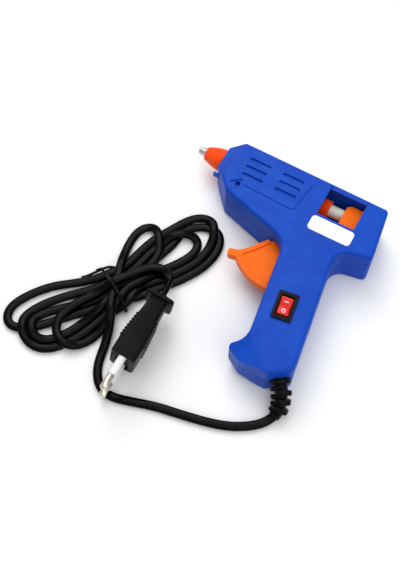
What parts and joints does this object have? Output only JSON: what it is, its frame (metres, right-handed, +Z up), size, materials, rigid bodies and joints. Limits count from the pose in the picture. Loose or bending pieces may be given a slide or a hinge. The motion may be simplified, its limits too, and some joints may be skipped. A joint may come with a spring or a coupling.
{
  "type": "hot glue gun",
  "caption": "Small corded hot glue gun in two moulded shells, with a finger trigger, a stick window, a rocker switch and its mains lead tied in a hank.",
  "frame": {"origin": "on the surface the gun lies on, under the centre of the gun's own box (cord, strain relief and plug left out)", "axes": "+X along the barrel from the nozzle to the rear, +Y from the grip to the top of the barrel, +Z up, out of the gun's left side"},
  "size_m": [0.1616, 0.1605, 0.0293],
  "materials": {
    "shell_blue": "satin moulded plastic with a fine grain",
    "trigger_orange": "satin moulded plastic",
    "silicone_red": "satin silicone",
    "switch_black": "semi-gloss moulded plastic",
    "rocker_red": "gloss moulded plastic, white marks",
    "label_white": "satin vinyl",
    "glue": "translucent hot-melt glue",
    "aluminium": "satin",
    "steel": "brushed",
    "brass": "satin",
    "nickel": "bright nickel plate",
    "ceramic": "dull fired ceramic",
    "film": "polyimide film",
    "cord_black": "gloss PVC",
    "plug_black": "satin moulded PVC",
    "pin_sleeve": "satin",
    "wire_brown": "satin PVC",
    "wire_grey": "satin PVC",
    "wire_blue": "satin PVC"
  },
  "bodies": {
    "body": {"left_shell": "shell_blue", "right_shell": "shell_blue", "label": "label_white", "nozzle": "aluminium", "nozzle_cover": "silicone_red", "heat_chamber": "aluminium", "chamber_collar": "ceramic", "electrode_upper": "brass", "ptc_heater": "ceramic", "electrode_lower": "brass", "insulating_film": "film", "heater_clip": "steel", "inlet_sleeve": "silicone_red", "sleeve_clip": "steel", "trigger_spring": "steel", "switch_body": "switch_black", "switch_terminal_1": "brass", "switch_terminal_2": "brass", "live_wire": "wire_brown", "switched_wire": "wire_grey", "neutral_wire": "wire_blue", "cord_clamp": "switch_black", "clamp_screw_1": "steel", "clamp_screw_2": "steel", "strain_relief": "plug_black", "cord_lead": "cord_black", "cord_hank": "cord_black", "cord_tail": "cord_black", "twist_tie": "cord_black", "plug_body": "plug_black", "plug_pin_upper": "nickel", "plug_pin_lower": "nickel", "pin_sleeve_upper": "pin_sleeve", "pin_sleeve_lower": "pin_sleeve", "screw_1": "steel", "screw_2": "steel", "screw_3": "steel", "screw_4": "steel", "screw_5": "steel"},
    "trigger": {"trigger": "trigger_orange"},
    "carriage": {"carriage": "trigger_orange"},
    "glue_stick": {"glue_stick": "glue"},
    "rocker": {"rocker": "rocker_red"}
  },
  "joints": [
    {"name": "trigger_pull", "type": "hinge", "parent": "body", "child": "trigger", "pos_m": [0.01435, 0.01805, 0.01325], "axis": [0, 0, 1], "range_deg": [0, 18], "stiffness_Nm_per_rad": 0.08, "springref_deg": -34.38, "deforming": ["trigger_spring"]},
    {"name": "carriage_feed", "type": "slide", "parent": "body", "child": "carriage", "axis": [-1, 0, 0], "range_m": [0, 0.0062]},
    {"name": "stick_feed", "type": "slide", "parent": "body", "child": "glue_stick", "axis": [-1, 0, 0], "range_m": [0, 0.0062]},
    {"name": "rocker_tilt", "type": "hinge", "parent": "body", "child": "rocker", "pos_m": [0.03015, -0.02165, 0.0241], "axis": [-0.9903, -0.1392, 0], "range_deg": [0, 14]}
  ],
  "couplings": [
    {"joint": "carriage_feed", "follows": "trigger_pull", "m_per_rad": 0.0194},
    {"joint": "stick_feed", "follows": "trigger_pull", "m_per_rad": 0.0194}
  ]
}
